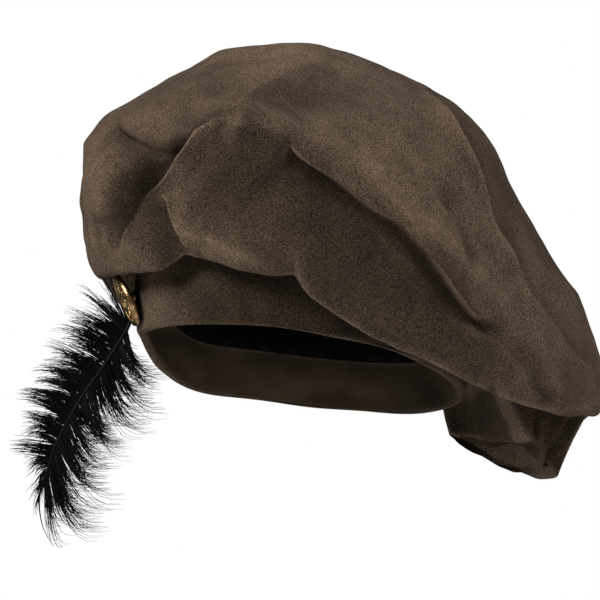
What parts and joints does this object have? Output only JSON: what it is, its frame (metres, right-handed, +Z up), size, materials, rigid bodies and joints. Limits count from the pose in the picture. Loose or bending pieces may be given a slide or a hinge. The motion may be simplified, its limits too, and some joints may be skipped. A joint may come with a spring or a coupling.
{
  "type": "velvet tam o shanter beret with plume",
  "caption": "Soft floppy velvet tam on a head band, with folds over the front, one side hanging low, a gold button and a black plume.",
  "frame": {"origin": "centre of the head opening, in the plane of the band's lower edge", "axes": "+Z up, -Y the side seen in front, +X the viewer's right, where the crown hangs low"},
  "size_m": [0.3141, 0.2837, 0.2745],
  "materials": {
    "crown": "short brown velvet pile",
    "band": "short brown velvet pile",
    "inner_band": "smooth dark brown satin",
    "lining": "thin black lining cloth",
    "button": "antiqued gold",
    "plume": "fluffy black ostrich feather"
  },
  "bodies": {
    "root": {"crown": "crown", "band": "band", "inner_band": "inner_band", "lining": "lining", "button": "button", "plume": "plume"}
  },
  "joints": []
}
